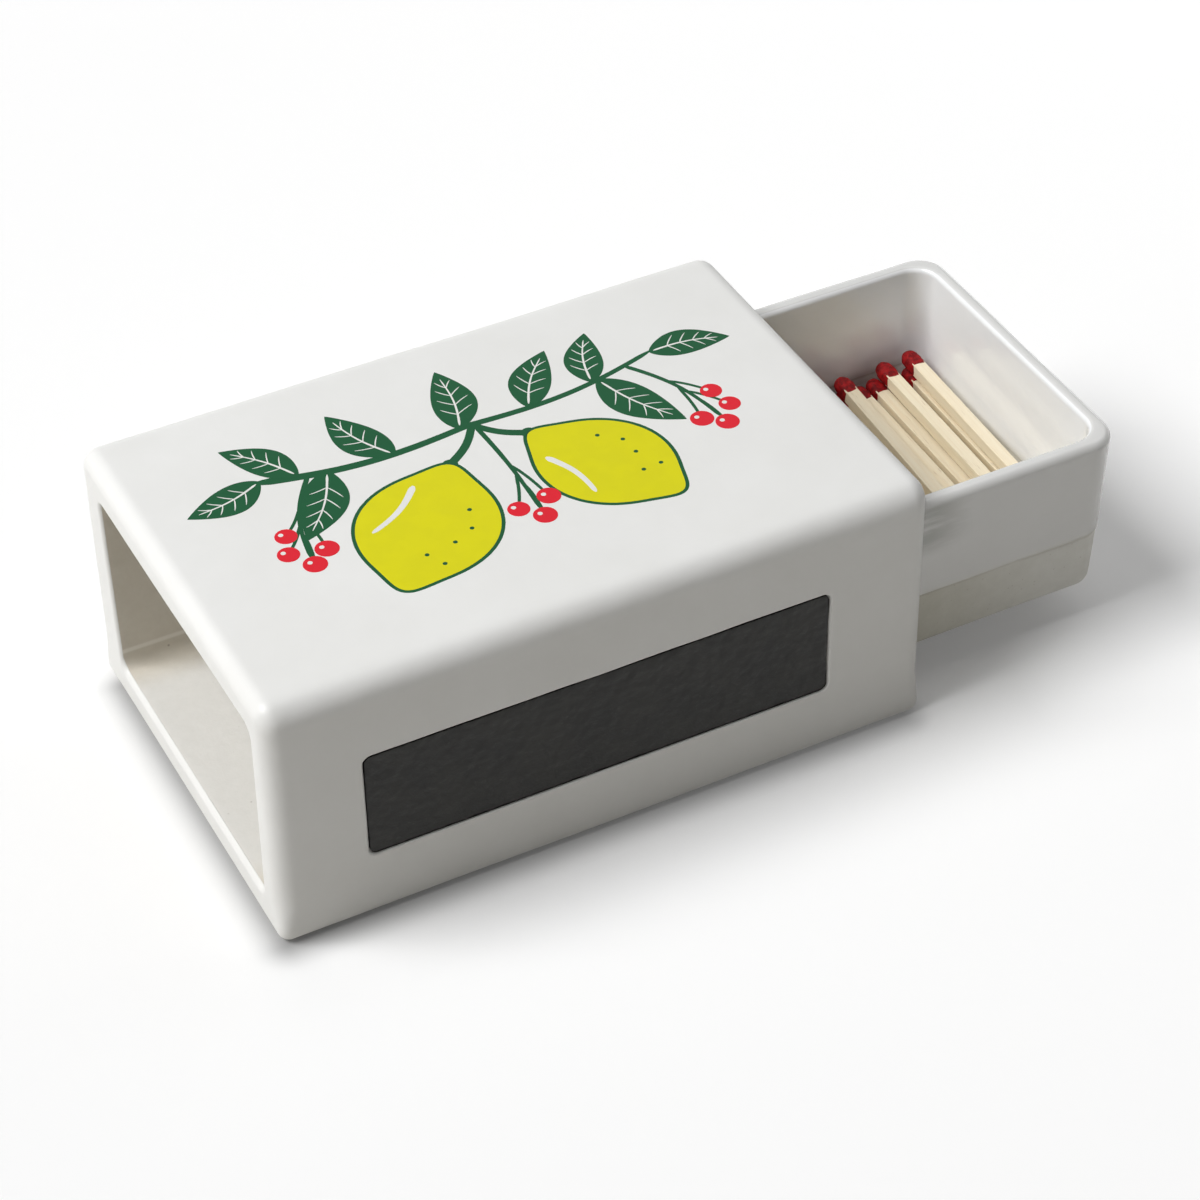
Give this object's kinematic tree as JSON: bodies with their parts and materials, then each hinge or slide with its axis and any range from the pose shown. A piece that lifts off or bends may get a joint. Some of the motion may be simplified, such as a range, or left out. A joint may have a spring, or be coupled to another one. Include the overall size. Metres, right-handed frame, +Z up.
{
  "type": "matchbox holder",
  "caption": "Thick ceramic sleeve, open at both ends, with a striker strip on one long side and a pull-out ceramic drawer filled with short wooden matches.",
  "frame": {"origin": "centre of the sleeve's flat bottom face", "axes": "+X along the sleeve, the way the drawer is pulled out; +Y away from the side with the striker strip; +Z up"},
  "size_m": [0.1541, 0.0744, 0.0471],
  "materials": {
    "sleeve_glaze": "white satin glaze outside, bare body inside the bore",
    "drawer_glaze": "white gloss glaze above a bare matt foot",
    "striker_grit": "dark grit paper with a pebbled face",
    "match_wood": "bare split aspen",
    "match_head": "dull red striking compound"
  },
  "bodies": {
    "sleeve": {"sleeve": "sleeve_glaze", "striker_strip": "striker_grit"},
    "drawer": {"drawer": "drawer_glaze", "layer_1_sticks": "match_wood", "layer_2_sticks": "match_wood", "layer_3_sticks": "match_wood", "layer_1_heads": "match_head", "layer_2_heads": "match_head", "layer_3_heads": "match_head", "match_01_stick": "match_wood", "match_02_stick": "match_wood", "match_03_stick": "match_wood", "match_04_stick": "match_wood", "match_05_stick": "match_wood", "match_06_stick": "match_wood", "match_07_stick": "match_wood", "match_08_stick": "match_wood", "match_09_stick": "match_wood", "match_10_stick": "match_wood", "match_11_stick": "match_wood", "match_12_stick": "match_wood", "match_13_stick": "match_wood", "match_14_stick": "match_wood", "match_01_head": "match_head", "match_02_head": "match_head", "match_03_head": "match_head", "match_04_head": "match_head", "match_05_head": "match_head", "match_06_head": "match_head", "match_07_head": "match_head", "match_08_head": "match_head", "match_09_head": "match_head", "match_10_head": "match_head", "match_11_head": "match_head", "match_12_head": "match_head", "match_13_head": "match_head", "match_14_head": "match_head"}
  },
  "joints": [
    {"name": "drawer_slide", "type": "slide", "parent": "sleeve", "child": "drawer", "axis": [1, 0, 0], "range_m": [-0.0408, 0.0698]}
  ]
}
